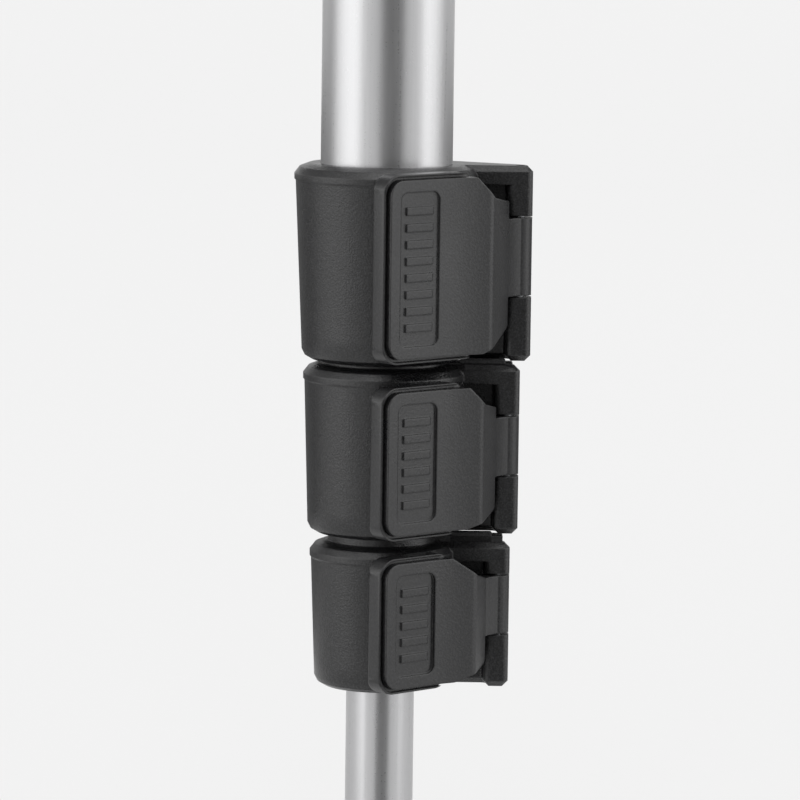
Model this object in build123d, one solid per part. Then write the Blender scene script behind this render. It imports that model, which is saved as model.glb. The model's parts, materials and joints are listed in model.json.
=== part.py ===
from build123d import *
import os
from math import cos, radians, sin, sqrt, tan

# A camera tripod: three telescopic legs with flip locks, a crown, a centre column and a pan head.
# It stands on its feet, each leg on its spread stop and every section pushed home.
# Millimetres, +Z up. The origin is on the floor, under the axis of the centre column.

# Stance
spread = 23.0  # a leg's angle from the vertical on its stop
pivot_radius = 34.0  # from the column's axis to a leg's axis
leg_azimuths = {"a": -90.0, "b": 30.0, "c": 150.0}
running_gap = 0.3  # between parts that slide or turn past each other
pin_clearance = 0.05  # radial, for a pin or a shaft in its hole

# Leg tubes, from the top section to the bottom one
tube_diameters = [25.0, 21.0, 17.0, 13.0]
tube_wall = 1.2
tube_head_rooms = [0.0, 19.0, 20.5, 27.5]  # from the yoke's top down to each tube's, when pushed in
upper_tube_showing = 325.0  # between the yoke and the first collar
lower_tube_showing = 28.0  # between the last collar and the foot
guide_length = 20.0
guide_clearance = 0.1

# Flip locks, from the top one to the bottom one
collar_heights = [37.1, 32.3, 27.8]
collar_gaps = [0.85, 1.7]  # between one collar and the next
collar_top_radii = [17.45, 15.4, 13.8]
collar_bottom_radii = [15.75, 14.3, 12.7]
seat_depths = [15.0, 13.0, 10.5]  # how far a tube reaches into its own collar
hinge_offsets = [25.3, 23.4, 22.0]  # the lever's pin, to the right of the leg's axis
hinge_depth = -0.5  # the pin, towards the column from the leg's axis
lug_radius = 2.4
pin_radius = 1.0
rim_chamfer = 2.7
rim_drop = 1.9
rim_lip = 0.25  # how far the rim's lip stands out over the side
rim_lip_height = 1.1
foot_chamfer = 1.8
boss_top_chamfer = 1.1
boss_foot_chamfer = 1.1
ring_inset = 0.8  # the seat ring on a lower collar, inside its top face
boss_front = 0.8  # the boss's front wall, towards the column from the leg's axis
boss_roof = 3.6  # the thickness of its top, which reaches forward over the lever's shoulder
ear_corner = 1.2
boss_back_rise = 3.1  # how far the boss's back stands behind the pin
boss_start_angle = 47.0

# Levers, each down from its collar's top
lever_tops = [0.3, 2.1, 0.5]
lever_bottoms = [35.4, 30.8, 26.1]
lever_free_ends = [-19.4, -17.6, -16.1]  # along the plate, from the leg's axis
knuckle_tops = [9.8, 9.7, 6.3]
knuckle_bottoms = [24.6, 20.9, 17.5]
neck_tops = [5.6, 6.7, 5.4]
neck_bottoms = [30.0, 26.6, 22.1]
shoulder_starts = [1.2, 1.8, -0.6]  # where the plate's top corner starts to slope
heel_starts = [1.6, -0.6, -1.6]  # where its bottom corner does
plate_angle = 42.0  # the plate faces this far to the right of the leg's front
arm_bend = 27.4  # how much further the arm turns towards its pin
neck_setback = 3.3  # how far the arm stops short of the knuckle, beside the ears
crease_place = (-0.33, -0.94)  # where the arm's face meets the knuckle, in knuckle radii from the pin
arm_thickness = 2.6
arm_root = 3.4  # from the crease to the arm's inner corner
arm_lap = 0.5  # how far the knuckle's part of the arm reaches into the plate's
plate_thickness = 3.5
plate_clearance = 0.5  # between the plate and its collar
pad_rise = 0.7
pad_inset = 0.95
groove_width = 0.6  # around the pad, in the plate
groove_depth = 0.8
ridge_rise = 2.0  # where the pad curves up to a ridge, before the arm
ridge_width = 13.0
ridge_radius = 2.0
corner_radius = 3.4
shoulder_radius = 4.5
field_width = 9.6
field_margin = 3.2
field_depth = 0.4
field_side_margin = 3.4
rib_width = 1.5
rib_margin = 1.5  # from the field's sides
rib_pitch = 3.1
rib_rise = 0.35
lever_relief_depth = 1.6
lever_rim = 1.8

# Friction shoes, which the levers press on the tubes
shoe_width = 3.6
shoe_offset = 1.1  # from the pin's axis, towards the column
shoe_gap = 0.25

# Yokes and the crown
yoke_top = 15.0  # below the pivot
yoke_length = 37.0
yoke_radius = 14.6
tongue_width = 24.0
tongue_radius = 10.0
stop_height = 10.2
bolt_radius = 3.0
ear_thickness = 6.0
ear_radius = 11.0
roof_thickness = 4.0
hub_radius = 22.0
hub_bottom = -12.0  # from the pivot
neck_radius = 19.0
crown_height = 34.0  # from the pivot to the crown's top

# Feet
foot_length = 25.0
foot_ball_radius = 11.0
foot_ball_rise = 9.6  # the ball's centre, along the leg from the floor
foot_socket = 12.0
foot_top_radius = 9.0

# Centre column
column_diameter = 25.0
column_wall = 2.0
column_length = 322.0
hook_plug_length = 18.0
hook_flange = 3.0
hook_eye_radius = 6.0
hook_eye_wall = 3.5
hook_thickness = 6.0

# Knobs
knob_screw_radius = 3.0
column_knob_azimuth = -30.0
column_knob_drop = 10.0  # below the crown's top
column_knob_radius = 12.0
column_knob_start = 31.0
column_knob_length = 16.0
pan_knob_azimuth = -25.0
pan_knob_radius = 8.5
pan_knob_start = 27.0
pan_knob_length = 13.0

# Pan head
pan_radius = 24.0
pan_base_height = 14.0
column_socket = 12.0
pan_stub_radius = 7.0
pan_stub_height = 12.0
pan_disc_height = 14.0
tilt_rise = 28.0  # the tilt axis above the pan disc
tilt_ear_gap = 30.6
tilt_ear_thickness = 7.0
tilt_ear_radius = 13.0
tilt_barrel_radius = 12.0
tilt_trunnion_radius = 5.0
tilt_block_height = 19.0  # from the tilt axis to its table's underside
table_width = 46.0
table_depth = 42.0
table_thickness = 5.0
flip_axis_offset = 27.0  # the side flip's axis, to the left of the head's middle
flip_lug_radius = 5.0
flip_pin_radius = 2.5
flip_lug_width = 16.0
flip_lug_thickness = 6.0
platform_thickness = 8.0
rail_height = 6.0
rail_width = 4.0
dovetail_lean = 1.8
lever_barrel = 4.5
lever_pin_radius = 1.8
lever_pin_length = 9.0

# Pan handle
handle_drop = 12.0  # below the horizontal
handle_radius = 3.5
handle_socket_radius = 7.0
handle_socket_end = 30.0
handle_length = 205.0  # from the tilt axis
grip_radius = 11.0
grip_length = 92.0

# Quick plate and its camera screw
quick_plate_width = 34.0
quick_plate_length = 42.0
quick_plate_thickness = 9.0
screw_radius = 3.175
screw_length = 5.5
screw_neck_radius = 2.6  # inside the plate, below the thread
screw_head_radius = 9.0
screw_head_height = 3.0

# Worked out from the sizes above
tube_radii = [d / 2 for d in tube_diameters]
collar_starts = [yoke_top + yoke_length + upper_tube_showing]
for height, gap in zip(collar_heights, collar_gaps):
    collar_starts.append(collar_starts[-1] + height + gap)
foot_start = collar_starts[-1] + collar_heights[-1] + lower_tube_showing
leg_length = foot_start + foot_length
pivot_height = leg_length * cos(radians(spread))
tube_ends = [start + depth for start, depth in zip(collar_starts, seat_depths)]
tube_ends.append(foot_start + foot_socket)
tube_starts = [yoke_top + room for room in tube_head_rooms]
crown_top = pivot_height + crown_height
pan_start = crown_top + running_gap
disc_start = pan_start + pan_base_height + running_gap
tilt_height = disc_start + pan_disc_height + tilt_rise
table_start = tilt_height + tilt_block_height
platform_start = table_start + table_thickness + running_gap
flip_height = platform_start
quick_plate_start = platform_start + platform_thickness + running_gap

# The plate's own axes seen from above: along it, and out of its face
along = (cos(radians(plate_angle)), sin(radians(plate_angle)))
outward = (sin(radians(plate_angle)), -cos(radians(plate_angle)))
plate_view = Plane(origin=(0, 0, 0), x_dir=(*along, 0), z_dir=(*outward, 0))


def on_plate(s, p):
    """A point seen from above, from its place along the plate and out of its face."""
    return (s * along[0] + p * outward[0], s * along[1] + p * outward[1])


def rod(start, end, radius):
    """A round bar from one point to another."""
    start, end = Vector(*start), Vector(*end)
    return Solid.make_cylinder(radius, (end - start).length, Plane(origin=start, z_dir=end - start))


def post(top, bottom, radius, x=0.0, y=0.0):
    """A round bar along the leg, between two distances below its pivot."""
    return rod((x, y, -bottom), (x, y, -top), radius)


def prism(points, radii, top, bottom):
    """A block along the leg with the outline given, its corners rounded."""
    outline = FilletPolyline(*points, radius=radii, close=True)
    return Pos(0, 0, -bottom) * extrude(make_face(outline), amount=bottom - top)


def turned(points):
    """A round part, from its half outline as (radius, height) points."""
    return revolve(Plane.XZ * make_face(Polyline(*points, close=True)), Axis.Z)


def block(x, y, z):
    """A box between the two limits given on each axis."""
    size = [high - low for low, high in (x, y, z)]
    middle = [(high + low) / 2 for low, high in (x, y, z)]
    return Pos(*middle) * Box(*size)


# Flip locks, in a leg's own frame: X to the right, Y towards the column, Z up the leg, pivot at 0


def collar(n):
    """The moulded collar at the end of tube n, with two ears for the lever's pin."""
    top = collar_starts[n]
    bottom = top + collar_heights[n]
    wide, narrow = collar_top_radii[n], collar_bottom_radii[n]
    hinge = hinge_offsets[n]
    sleeve = turned(
        [
            (0, -top),
            (wide - rim_chamfer, -top),
            (wide - rim_chamfer * 0.35, -top - rim_drop * 0.35),
            (wide, -top - rim_drop),
            (wide, -top - rim_drop - rim_lip_height),
            (wide - rim_lip, -top - rim_drop - rim_lip_height - rim_lip),
            (narrow, -bottom + foot_chamfer),
            (narrow - foot_chamfer * 0.3, -bottom + foot_chamfer * 0.4),
            (narrow - foot_chamfer, -bottom),
            (0, -bottom),
        ]
    )
    boss = Pos(0, 0, -bottom) * extrude(boss_outline(n, boss_front), amount=collar_heights[n])
    roof = extrude(boss_outline(n, hinge_depth - lug_radius), amount=boss_roof)
    boss += Pos(0, 0, -top - boss_roof) * roof
    boss = chamfer(boss.faces().sort_by(Axis.Z)[-1].edges(), boss_top_chamfer)
    boss = chamfer(boss.faces().sort_by(Axis.Z)[0].edges(), boss_foot_chamfer)
    body = sleeve + boss
    if n > 0:
        body += post(top - collar_gaps[n - 1] + running_gap, top + 1, wide - rim_chamfer - ring_inset)
    slot_top = top + knuckle_tops[n] - running_gap
    slot_bottom = top + knuckle_bottoms[n] + running_gap
    reach = hinge + 2 * lug_radius
    slot_back = hinge_depth + lug_radius + running_gap
    slot_left = hinge - lug_radius - running_gap
    body -= block((slot_left, reach), (-reach, slot_back), (-slot_bottom, -slot_top))
    window_middle = hinge_depth + shoe_offset
    window_half = shoe_width / 2 + pin_clearance
    window = (window_middle - window_half, window_middle + window_half)
    body -= block((0, hinge), window, (-slot_bottom, -tube_ends[n] - shoe_gap))
    body -= post(top - 3, tube_ends[n], tube_radii[n])
    body -= post(top - 3, bottom + 1, tube_radii[n + 1] + running_gap)
    body -= post(top - 1, bottom + 1, pin_radius, hinge, hinge_depth)
    return body


def boss_outline(n, front):
    """The hinge boss seen from above, with its front wall where stated and a nose about the pin."""
    hinge = hinge_offsets[n]
    start = collar_bottom_radii[n] - 0.4
    angle = radians(boss_start_angle)
    nose = hinge_depth - lug_radius
    points = [
        (start * cos(angle), start * sin(angle)),
        (hinge + 0.1, hinge_depth + boss_back_rise),
        (hinge + lug_radius, hinge_depth + boss_back_rise - 2.2),
        (hinge + lug_radius, nose),
    ]
    radii = [0, 2.0, 2.0, ear_corner]
    if front > nose:
        points += [(hinge - lug_radius, nose), (hinge - lug_radius, front)]
        radii += [ear_corner, 0.6]
    points.append((start * 0.5, front))
    radii.append(0)
    return make_face(FilletPolyline(*points, radius=radii, close=True))


def crease_point(n):
    """Where the arm of lever n meets its knuckle: along the plate, and out of its face."""
    x = hinge_offsets[n] + crease_place[0] * lug_radius
    y = hinge_depth + crease_place[1] * lug_radius
    return x * along[0] + y * along[1], x * outward[0] + y * outward[1]


def heel_line(n, s):
    """How far down the sloping bottom edge of lever n is, at a place along the plate."""
    low = collar_starts[n] + lever_bottoms[n]
    high = collar_starts[n] + neck_bottoms[n] + 0.6
    share = (s - heel_starts[n]) / (crease_point(n)[0] - neck_setback - 0.9 - heel_starts[n])
    return low + share * (high - low)


def pad_outline(n, inset, end):
    """The raised pad seen square to the plate, with its free corners rounded."""
    top, bottom = collar_starts[n] + lever_tops[n] + inset, collar_starts[n] + lever_bottoms[n] - inset
    left = lever_free_ends[n] + inset
    points = [(left, -top), (end, -top), (end, -bottom), (left, -bottom)]
    corner = corner_radius - inset / 2
    return make_face(FilletPolyline(*points, radius=[corner, 0, 0, corner], close=True))


def lever(n):
    """The flip lever of lock n: a plate with a raised pad, a bent arm and a knuckle on the pin."""
    start = collar_starts[n]
    top, bottom = start + lever_tops[n], start + lever_bottoms[n]
    neck_top, neck_bottom = start + neck_tops[n], start + neck_bottoms[n]
    free_end = lever_free_ends[n]
    inner = collar_top_radii[n] + plate_clearance
    outer = inner + plate_thickness
    face = outer + pad_rise
    hinge = (hinge_offsets[n], hinge_depth)
    bend = tan(radians(arm_bend))
    crease_s, crease_p = crease_point(n)
    ridge_s = crease_s - (face + ridge_rise - crease_p) / bend
    arm_end = (crease_s - arm_root, crease_p - arm_thickness)
    arm_start = arm_end[0] - (inner - arm_end[1]) / bend

    # Seen from above: plate and arm, each as thick as the real wall
    profile = [
        on_plate(free_end, inner),
        on_plate(free_end, outer),
        on_plate(crease_s - (outer - crease_p) / bend, outer),
        on_plate(crease_s, crease_p),
        (hinge[0], hinge[1] - 0.8),
        on_plate(*arm_end),
        on_plate(arm_start, inner),
    ]
    profile_radii = [0.5, 0.9, 0, 0, 0, 0.8, 2.0]
    plan = prism(profile, profile_radii, top - 1, bottom + 1)

    # Seen square to the plate: rounded corners, a sloped shoulder and heel
    edge_s = crease_s - neck_setback
    outline = [
        (free_end, -top),
        (shoulder_starts[n], -top),
        (ridge_s + 0.6, -neck_top + 0.4),
        (edge_s, -neck_top - 0.8),
        (edge_s, -neck_bottom),
        (edge_s - 0.9, -neck_bottom - 0.6),
        (heel_starts[n], -bottom),
        (free_end, -bottom),
    ]
    radii = [corner_radius, shoulder_radius, 2.0, 0.4, 0.6, 1.2, corner_radius, corner_radius]
    outline_face = make_face(FilletPolyline(*outline, radius=radii, close=True))
    side = extrude(plate_view * outline_face, amount=face + ridge_rise + 1)
    body = plan & side

    # The raised pad in its groove, which curves up to a ridge and runs down the arm
    pad_start = free_end + pad_inset
    floor = outer - groove_depth
    groove = plate_view * Pos(0, 0, floor) * extrude(
        pad_outline(n, pad_inset - groove_width, ridge_s), amount=groove_depth + 1
    )
    body -= groove
    rise = ThreePointArc(
        on_plate(ridge_s - ridge_width, face),
        on_plate(ridge_s - ridge_width / 2, face + ridge_rise / 4),
        on_plate(ridge_s, face + ridge_rise),
    )
    rest = Polyline(
        on_plate(ridge_s, face + ridge_rise),
        on_plate(crease_s, crease_p),
        on_plate(ridge_s, floor - 0.3),
        on_plate(pad_start, floor - 0.3),
        on_plate(pad_start, face),
        on_plate(ridge_s - ridge_width, face),
    )
    pad = Pos(0, 0, -bottom - 1) * extrude(make_face(rise + rest), amount=bottom - top + 2)
    ridge = pad.edges().filter_by(Axis.Z).sort_by(Axis((0, 0, 0), (*outward, 0)))[-1]
    pad = fillet(ridge, ridge_radius)
    pad = pad & extrude(plate_view * pad_outline(n, pad_inset, crease_s), amount=face + ridge_rise + 1)
    body += pad & side

    # A recessed field with plain grip ribs
    field_start = free_end + field_side_margin
    field_top, field_bottom = top + field_margin, bottom - field_margin
    field_face = make_face(
        FilletPolyline(
            (field_start, -field_top),
            (field_start + field_width, -field_top),
            (field_start + field_width, -field_bottom),
            (field_start, -field_bottom),
            radius=1.6,
            close=True,
        )
    )
    floor = face - field_depth
    body -= plate_view * Pos(0, 0, floor) * extrude(field_face, amount=field_depth + 1)
    length = field_bottom - field_top
    count = int((length - rib_pitch) / rib_pitch)
    middle = -(field_top + field_bottom) / 2
    for k in range(count):
        z = middle + (k - (count - 1) / 2) * rib_pitch
        rib = Box(field_width - 2 * rib_margin, rib_width, rib_rise + 0.3)
        body += plate_view * Pos(field_start + field_width / 2, z, floor + rib_rise / 2 - 0.15) * rib

    # A relief in the back of the plate, with two cross ribs left standing
    relief_left = free_end + lever_rim
    relief_right = min(arm_start, heel_starts[n]) - lever_rim
    relief_width = relief_right - relief_left
    relief_height = (bottom - top - 2 * lever_rim) / 3 - lever_rim * 0.6
    for k in (-1, 0, 1):
        z = -(top + bottom) / 2 + k * (relief_height + lever_rim * 0.6)
        pocket = Box(relief_width, relief_height, 2 * lever_relief_depth)
        body -= plate_view * Pos((relief_left + relief_right) / 2, z, inner) * pocket

    # Room for the ears, then the knuckle with its link to the arm
    ear_sweep = (lug_radius - ear_corner) * sqrt(2) + ear_corner
    body -= post(start - 5, bottom + 5, ear_sweep + running_gap, *hinge)
    knuckle_top, knuckle_bottom = start + knuckle_tops[n], start + knuckle_bottoms[n]
    knuckle = post(knuckle_top, knuckle_bottom, lug_radius, *hinge)
    arm = prism(profile, profile_radii, knuckle_top, knuckle_bottom)
    spare = Box(edge_s - free_end, bottom - top, 4 * face)
    arm -= plate_view * Pos((edge_s + free_end) / 2 - arm_lap, -(top + bottom) / 2, 0) * spare
    crease_fill = prism(
        [
            on_plate(crease_s - 2.0, crease_p + 2.0 * bend),
            (hinge[0] + 0.1 * lug_radius, hinge[1] - 0.99 * lug_radius),
            hinge,
        ],
        0,
        knuckle_top,
        knuckle_bottom,
    )
    body += knuckle + arm + crease_fill
    body -= post(knuckle_top - 1, knuckle_bottom + 1, pin_radius + pin_clearance, *hinge)
    return body


def lock_fittings(n):
    """The hinge pin of lock n, and the friction shoe between the knuckle and the inner tube."""
    top = collar_starts[n]
    hinge = hinge_offsets[n]
    pin_top = top + rim_drop * 0.8
    pin_bottom = top + collar_heights[n] - foot_chamfer - 0.4
    pin = post(pin_top, pin_bottom, pin_radius, hinge, hinge_depth)
    middle = hinge_depth + shoe_offset
    shoe = block(
        (0, hinge - lug_radius - shoe_gap),
        (middle - shoe_width / 2, middle + shoe_width / 2),
        (-(top + knuckle_bottoms[n]), -tube_ends[n] - 2 * shoe_gap),
    )
    shoe -= post(top, top + collar_heights[n], tube_radii[n + 1] + shoe_gap)
    shoe = shoe.solids().sort_by(Axis.X)[-1]
    return Compound([pin, shoe])


def tube(n):
    """Tube n, with the nylon guide that runs in the tube around it."""
    start, end = tube_starts[n], tube_ends[n]
    drawn = post(start, end, tube_radii[n]) - post(start - 1, end + 1, tube_radii[n] - tube_wall)
    if n == 0:
        return drawn
    guide_radius = tube_radii[n - 1] - tube_wall - guide_clearance
    guide = post(start, start + guide_length, guide_radius)
    guide -= post(start - 1, start + guide_length + 1, tube_radii[n])
    return Compound([drawn.solid(), guide.solid()])


def yoke():
    """The casting on top of a leg: a sleeve on the tube, and a tongue that turns on the crown's bolt."""
    bottom = yoke_top + yoke_length
    sleeve = turned(
        [
            (0, -yoke_top + 4),
            (yoke_radius - 4.0, -yoke_top + 4),
            (yoke_radius - 0.8, -yoke_top),
            (yoke_radius, -yoke_top - 2),
            (yoke_radius, -bottom + 6),
            (yoke_radius - 0.5, -bottom + 5.5),
            (yoke_radius - 0.5, -bottom + 0.8),
            (yoke_radius - 1.1, -bottom),
            (0, -bottom),
        ]
    )
    half = tongue_width / 2
    eye = rod((-half, 0, 0), (half, 0, 0), tongue_radius)
    shank = block((-half, half), (-tongue_radius, tongue_radius), (-yoke_top - 4, 0))
    # The stop meets the crown's roof, so it is square to the world and not to the leg
    stop = Rot(spread, 0, 0) * block((-half, half), (-tongue_radius, 0), (0, stop_height))
    body = sleeve + eye + shank + stop
    body -= rod((-half - 1, 0, 0), (half + 1, 0, 0), bolt_radius + pin_clearance)
    body -= post(tube_starts[0], bottom + 1, tube_radii[0])
    return body


def foot():
    """The rubber foot: a ball cut flat where it meets the floor."""
    centre = leg_length - foot_ball_rise
    neck = centre - foot_ball_radius * 0.72
    waist = sqrt(foot_ball_radius**2 - (centre - neck) ** 2)
    shaft = turned(
        [
            (0, -foot_start),
            (foot_top_radius - 0.8, -foot_start),
            (foot_top_radius, -foot_start - 0.8),
            (foot_top_radius, -foot_start - 3.0),
            (foot_top_radius - 0.7, -foot_start - 3.6),
            (foot_top_radius - 0.7, -foot_start - 5.0),
            (waist, -neck),
            (waist, -centre),
            (0, -centre),
        ]
    )
    body = shaft + Pos(0, 0, -centre) * Sphere(foot_ball_radius)
    body -= post(foot_start - 1, foot_start + foot_socket, tube_radii[3])
    reach = 3 * foot_ball_radius
    floor = block((-reach, reach), (-reach, reach), (-reach, 0))
    floor = Pos(0, 0, -leg_length) * Rot(spread, 0, 0) * floor
    return body - floor


def place_leg(name, shape):
    """Put a piece from the leg's own frame on its leg."""
    turn = Rot(0, 0, leg_azimuths[name] + 90)
    return turn * Pos(0, -pivot_radius, pivot_height) * Rot(-spread, 0, 0) * shape


# The crown and the centre column


def crown():
    """The casting that carries the three legs and guides the column."""
    half = tongue_width / 2 + running_gap
    outside = half + ear_thickness
    roof = stop_height + running_gap
    low, top = pivot_height + hub_bottom, crown_top
    hub = turned(
        [
            (0, low),
            (hub_radius - 1.5, low),
            (hub_radius, low + 1.5),
            (hub_radius, pivot_height + roof + roof_thickness),
            (neck_radius, pivot_height + roof + roof_thickness + 4),
            (neck_radius, top - 5),
            (neck_radius + 1.5, top - 4),
            (neck_radius + 1.5, top - 1),
            (neck_radius + 0.5, top),
            (0, top),
        ]
    )
    ear = block((-outside, outside), (-pivot_radius, -10), (-ear_radius, roof + roof_thickness))
    ear += rod((-outside, -pivot_radius, 0), (outside, -pivot_radius, 0), ear_radius)
    ear += block((-outside, outside), (-pivot_radius - ear_radius, -10), (0, roof + roof_thickness))
    ear = fillet(ear.edges().filter_by(Axis.X).sort_by(Axis.Z)[-2:], 3.0)
    slot = block((-half, half), (-pivot_radius - ear_radius - 1, -hub_radius), (-ear_radius - 1, roof))
    hole = rod((-outside - 1, -pivot_radius, 0), (outside + 1, -pivot_radius, 0), bolt_radius)
    body = hub
    for azimuth in leg_azimuths.values():
        body += Rot(0, 0, azimuth + 90) * Pos(0, 0, pivot_height) * ear
    for azimuth in leg_azimuths.values():
        body -= Rot(0, 0, azimuth + 90) * Pos(0, 0, pivot_height) * slot
        body -= Rot(0, 0, azimuth + 90) * Pos(0, 0, pivot_height) * hole
    knob_turn = Rot(0, 0, column_knob_azimuth)
    knob_height = top - column_knob_drop
    body += knob_turn * rod((10, 0, knob_height), (column_knob_start - 1, 0, knob_height), 7.0)
    body -= rod((0, 0, low - 1), (0, 0, top + 1), column_diameter / 2 + running_gap)
    hole_radius = knob_screw_radius + pin_clearance
    screw_hole = rod((5, 0, knob_height), (column_knob_start, 0, knob_height), hole_radius)
    body -= knob_turn * screw_hole
    return body


def pivot_bolts():
    """One bolt for each leg, with a round socket head and a nut."""
    outside = tongue_width / 2 + running_gap + ear_thickness
    bolts = []
    for azimuth in leg_azimuths.values():
        bolt = rod((-outside, 0, 0), (outside, 0, 0), bolt_radius)
        bolt += fillet(rod((outside, 0, 0), (outside + 3.2, 0, 0), 5.2).edges().sort_by(Axis.X)[-1], 1.0)
        nut = extrude(RegularPolygon(5.4, 6), amount=3.0)
        nut = Plane(origin=(-outside - 3.0, 0, 0), z_dir=(1, 0, 0)) * nut
        bolt += nut
        socket = extrude(RegularPolygon(2.6, 6), amount=3)
        socket = Plane(origin=(outside + 1.4, 0, 0), z_dir=(1, 0, 0)) * socket
        bolt -= socket
        bolts.append((Rot(0, 0, azimuth + 90) * Pos(0, -pivot_radius, pivot_height) * bolt).solid())
    return Compound(bolts)


def column():
    """The centre column, a plain tube from the pan base down."""
    top = pan_start + column_socket
    outer = rod((0, 0, top - column_length), (0, 0, top), column_diameter / 2)
    bore_radius = column_diameter / 2 - column_wall
    return outer - rod((0, 0, top - column_length - 1), (0, 0, top + 1), bore_radius)


def column_hook():
    """The plug in the column's lower end, with an eye for a weight."""
    end = pan_start + column_socket - column_length
    inside = column_diameter / 2 - column_wall
    rim = column_diameter / 2
    plug = turned(
        [
            (0, end + hook_plug_length),
            (inside - 0.6, end + hook_plug_length),
            (inside, end + hook_plug_length - 1),
            (inside, end),
            (rim, end),
            (rim, end - hook_flange + 1),
            (rim - 1, end - hook_flange),
            (0, end - hook_flange),
        ]
    )
    eye_outside = hook_eye_radius + hook_eye_wall
    eye_height = end - hook_flange - eye_outside + 1
    half = hook_thickness / 2
    eye = rod((0, -half, eye_height), (0, half, eye_height), eye_outside)
    eye += block((-eye_outside, eye_outside), (-half, half), (eye_height, end - hook_flange + 0.5))
    return plug + eye - rod((0, -half - 1, eye_height), (0, half + 1, eye_height), hook_eye_radius)


def screw_knob(start, length, radius, screw_end, lobes=6):
    """A star knob on its screw, along +X."""
    body = rod((start, 0, 0), (start + length, 0, 0), radius)
    body = fillet(body.edges(), 1.2)
    flute = radius * 0.28
    for k in range(lobes):
        angle = radians(360 / lobes * (k + 0.5))
        y, z = radius * 1.08 * cos(angle), radius * 1.08 * sin(angle)
        body -= rod((start + 2.5, y, z), (start + length + 1, y, z), flute)
    return body + rod((screw_end, 0, 0), (start + 2, 0, 0), knob_screw_radius)


def column_knob():
    """The knob that locks the column in the crown."""
    height = crown_top - column_knob_drop
    tip = column_diameter / 2 + running_gap
    knob = screw_knob(column_knob_start, column_knob_length, column_knob_radius, tip)
    return Rot(0, 0, column_knob_azimuth) * Pos(0, 0, height) * knob


# The pan head


def pan_base():
    """The disc on top of the column, with the stub that the head turns on."""
    top = pan_start + pan_base_height
    body = turned(
        [
            (0, pan_start),
            (pan_radius - 3, pan_start),
            (pan_radius, pan_start + 4),
            (pan_radius, top - 0.8),
            (pan_radius - 0.8, top),
            (pan_stub_radius, top),
            (pan_stub_radius, top + pan_stub_height - 0.6),
            (pan_stub_radius - 0.6, top + pan_stub_height),
            (0, top + pan_stub_height),
        ]
    )
    return body - rod((0, 0, pan_start - 1), (0, 0, pan_start + column_socket), column_diameter / 2)


def pan_body():
    """The turning disc and the two ears that carry the tilt axis."""
    top = disc_start + pan_disc_height
    disc = turned(
        [
            (0, disc_start),
            (pan_radius - 0.8, disc_start),
            (pan_radius, disc_start + 0.8),
            (pan_radius, top - 2),
            (pan_radius - 2, top),
            (0, top),
        ]
    )
    inside, outside = tilt_ear_gap / 2, tilt_ear_gap / 2 + tilt_ear_thickness
    body = disc
    for side in (-1, 1):
        low, high = sorted((side * inside, side * outside))
        ear = rod((low, 0, tilt_height), (high, 0, tilt_height), tilt_ear_radius)
        ear += block((low, high), (-tilt_ear_radius, tilt_ear_radius), (top - 1, tilt_height))
        body += ear
        cap_start, cap_end = side * (outside - 1), side * (outside + 1.5)
        body += rod((cap_start, 0, tilt_height), (cap_end, 0, tilt_height), 8.5)
    reach = outside + 3
    body -= rod((-reach, 0, tilt_height), (reach, 0, tilt_height), tilt_trunnion_radius + pin_clearance)
    stub_top = pan_start + pan_base_height + pan_stub_height + running_gap
    body -= rod((0, 0, disc_start - 1), (0, 0, stub_top), pan_stub_radius + pin_clearance)
    height = disc_start + pan_disc_height / 2
    turn = Rot(0, 0, pan_knob_azimuth)
    body += turn * rod((pan_radius - 4, 0, height), (pan_knob_start - 0.6, 0, height), 5.5)
    body -= turn * rod((10, 0, height), (pan_knob_start, 0, height), knob_screw_radius + pin_clearance)
    return body


def pan_knob():
    """The knob that locks the pan."""
    height = disc_start + pan_disc_height / 2
    knob = screw_knob(pan_knob_start, pan_knob_length, pan_knob_radius, 12.0, lobes=5)
    return Rot(0, 0, pan_knob_azimuth) * Pos(0, 0, height) * knob


handle_direction = Vector(0, cos(radians(handle_drop)), -sin(radians(handle_drop)))


def handle_point(distance):
    """A point on the pan handle's axis, from its distance to the tilt axis."""
    return Vector(0, 0, tilt_height) + handle_direction * distance


def tilt_body():
    """The tilting block between the pan body's ears, with its table and the handle's socket."""
    half = tilt_ear_gap / 2 - running_gap
    trunnion = tilt_ear_gap / 2 + tilt_ear_thickness + 0.8
    body = rod((-half, 0, tilt_height), (half, 0, tilt_height), tilt_barrel_radius)
    body += rod((-trunnion, 0, tilt_height), (trunnion, 0, tilt_height), tilt_trunnion_radius)
    depth = (-tilt_barrel_radius, tilt_barrel_radius)
    body += block((-half, half), depth, (tilt_height, table_start + 1))
    table = block(
        (-table_width / 2, table_width / 2),
        (-table_depth / 2, table_depth / 2),
        (table_start, table_start + table_thickness),
    )
    body += fillet(table.edges().filter_by(Axis.Z), 5.0)
    lug_half = flip_lug_width / 2 + running_gap
    for side in (-1, 1):
        low, high = sorted((side * lug_half, side * (lug_half + flip_lug_thickness)))
        ends = [(-flip_axis_offset, y, flip_height) for y in (low, high)]
        lug = rod(*ends, flip_lug_radius)
        lug += block(
            (-flip_axis_offset, -table_width / 2 + 2),
            (low, high),
            (flip_height - flip_lug_radius, table_start + table_thickness),
        )
        body += lug
    body -= block(
        (-flip_axis_offset - flip_lug_radius - 1, -flip_axis_offset + flip_lug_radius + running_gap),
        (-lug_half, lug_half),
        (table_start - 1, flip_height),
    )
    body -= flip_pin(pin_clearance)
    start, end = handle_point(6), handle_point(handle_socket_end)
    body += rod(start, end, handle_socket_radius)
    start, end = handle_point(handle_socket_end - 16), handle_point(handle_socket_end + 1)
    return body - rod(start, end, handle_radius + pin_clearance)


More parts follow.
